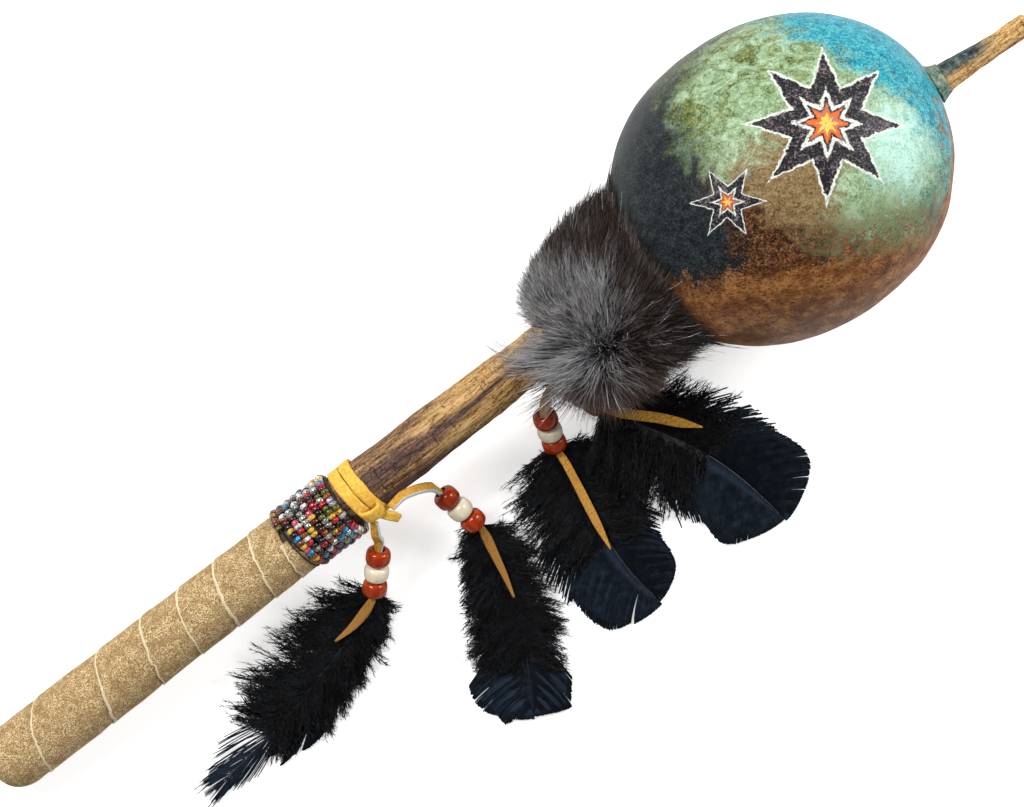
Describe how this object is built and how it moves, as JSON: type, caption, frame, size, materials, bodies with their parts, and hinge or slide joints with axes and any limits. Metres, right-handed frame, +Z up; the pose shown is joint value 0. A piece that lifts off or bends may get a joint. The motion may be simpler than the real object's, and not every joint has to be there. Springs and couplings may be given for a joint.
{
  "type": "gourd rattle",
  "caption": "Painted gourd rattle on a branch handle, with a wound suede grip, a seed-bead band, a fur collar and hanging beaded feather dangles.",
  "frame": {"origin": "under the middle of the rattle without its hanging dangles, on the surface that it lies on", "axes": "+X along the gourd towards the stick's tip, +Z up, -Y the side on which the dangles lie"},
  "size_m": [0.4585, 0.1777, 0.1118],
  "materials": {
    "stick_wood": "hand-rubbed bare wood",
    "gourd_paint": "painted and varnished gourd",
    "glue": "brown glue",
    "pebble_stone": "tumbled",
    "grip_suede": "suede",
    "band_leather": "dark leather",
    "seed_glass": "assorted seed beads",
    "lace_deerskin": "smooth deerskin",
    "fur": "fur",
    "crow_red": "gloss",
    "crow_ivory": "gloss",
    "feather_black": "dyed feather"
  },
  "bodies": {
    "rattle": {"stick": "stick_wood", "gourd_shell": "gourd_paint", "tip_glue_ring": "glue", "neck_glue_ring": "glue", "butt_cap": "grip_suede", "grip_wrap": "grip_suede", "bead_band_backing": "band_leather", "bead_strand": "seed_glass", "lower_lace_wrap": "lace_deerskin", "lower_lace_knot": "lace_deerskin", "fur_collar": "fur", "upper_lace_wrap": "lace_deerskin", "upper_lace_knot": "lace_deerskin"},
    "lace_link_a": {"lace_link_a": "lace_deerskin"},
    "dangle_a": {"lace_tail_a": "lace_deerskin", "bead_a_top": "crow_red", "bead_a_middle": "crow_ivory", "bead_a_bottom": "crow_red", "feather_a_front": "feather_black", "feather_a_back": "feather_black"},
    "lace_link_b": {"lace_link_b": "lace_deerskin"},
    "dangle_b": {"lace_tail_b": "lace_deerskin", "bead_b_top": "crow_red", "bead_b_middle": "crow_ivory", "bead_b_bottom": "crow_red", "feather_b_front": "feather_black", "feather_b_back": "feather_black"},
    "lace_link_c": {"lace_link_c": "lace_deerskin"},
    "dangle_c": {"lace_tail_c": "lace_deerskin", "bead_c_top": "crow_red", "bead_c_middle": "crow_ivory", "bead_c_bottom": "crow_red", "feather_c": "feather_black"},
    "lace_link_d": {"lace_link_d": "lace_deerskin"},
    "dangle_d": {"lace_tail_d": "lace_deerskin", "bead_d_top": "crow_red", "bead_d_middle": "crow_ivory", "bead_d_bottom": "crow_red", "feather_d": "feather_black"},
    "pebble_1": {"pebble_1": "pebble_stone"},
    "pebble_2": {"pebble_2": "pebble_stone"},
    "pebble_3": {"pebble_3": "pebble_stone"},
    "pebble_4": {"pebble_4": "pebble_stone"},
    "pebble_5": {"pebble_5": "pebble_stone"},
    "pebble_6": {"pebble_6": "pebble_stone"},
    "pebble_7": {"pebble_7": "pebble_stone"},
    "pebble_8": {"pebble_8": "pebble_stone"}
  },
  "joints": [
    {"name": "dangle_a_swing", "type": "hinge", "parent": "rattle", "child": "lace_link_a", "pos_m": [-0.06123, -0.02286, 0.03864], "axis": [0, 0, 1], "range_deg": [-6, 12]},
    {"name": "dangle_a_lift", "type": "hinge", "parent": "lace_link_a", "child": "dangle_a", "pos_m": [-0.06363, -0.02736, 0.03354], "axis": [-1, 0, 0], "range_deg": [-30, 75]},
    {"name": "dangle_b_swing", "type": "hinge", "parent": "rattle", "child": "lace_link_b", "pos_m": [-0.05323, -0.02176, 0.04184], "axis": [0, 0, 1], "range_deg": [-12, 2]},
    {"name": "dangle_b_lift", "type": "hinge", "parent": "lace_link_b", "child": "dangle_b", "pos_m": [-0.04843, -0.02056, 0.04094], "axis": [-1, 0, 0], "range_deg": [-10, 75]},
    {"name": "dangle_c_swing", "type": "hinge", "parent": "rattle", "child": "lace_link_c", "pos_m": [0.02961, -0.01478, 0.03992], "axis": [0, 0, 1], "range_deg": [-4, 2]},
    {"name": "dangle_c_lift", "type": "hinge", "parent": "lace_link_c", "child": "dangle_c", "pos_m": [0.02261, -0.01538, 0.03732], "axis": [-1, 0, 0], "range_deg": [-30, 75]},
    {"name": "dangle_d_swing", "type": "hinge", "parent": "rattle", "child": "lace_link_d", "pos_m": [0.03351, -0.01258, 0.03672], "axis": [0, 0, 1], "range_deg": [-2, 4]},
    {"name": "dangle_d_lift", "type": "hinge", "parent": "lace_link_d", "child": "dangle_d", "pos_m": [0.02491, -0.01388, 0.03432], "axis": [-1, 0, 0], "range_deg": [-25, 60]},
    {"name": "pebble_1_roll", "type": "hinge", "parent": "rattle", "child": "pebble_1", "pos_m": [0.12805, 0, 0.05566], "axis": [0.9924, 0, 0.123], "continuous": true},
    {"name": "pebble_2_roll", "type": "hinge", "parent": "rattle", "child": "pebble_2", "pos_m": [0.12805, 0, 0.05566], "axis": [0.9924, 0, 0.123], "continuous": true},
    {"name": "pebble_3_roll", "type": "hinge", "parent": "rattle", "child": "pebble_3", "pos_m": [0.12805, 0, 0.05566], "axis": [0.9924, 0, 0.123], "continuous": true},
    {"name": "pebble_4_roll", "type": "hinge", "parent": "rattle", "child": "pebble_4", "pos_m": [0.12805, 0, 0.05566], "axis": [0.9924, 0, 0.123], "continuous": true},
    {"name": "pebble_5_roll", "type": "hinge", "parent": "rattle", "child": "pebble_5", "pos_m": [0.12805, 0, 0.05566], "axis": [0.9924, 0, 0.123], "continuous": true},
    {"name": "pebble_6_roll", "type": "hinge", "parent": "rattle", "child": "pebble_6", "pos_m": [0.12805, 0, 0.05566], "axis": [0.9924, 0, 0.123], "continuous": true},
    {"name": "pebble_7_roll", "type": "hinge", "parent": "rattle", "child": "pebble_7", "pos_m": [0.12805, 0, 0.05566], "axis": [0.9924, 0, 0.123], "continuous": true},
    {"name": "pebble_8_roll", "type": "hinge", "parent": "rattle", "child": "pebble_8", "pos_m": [0.12805, 0, 0.05566], "axis": [0.9924, 0, 0.123], "continuous": true}
  ]
}
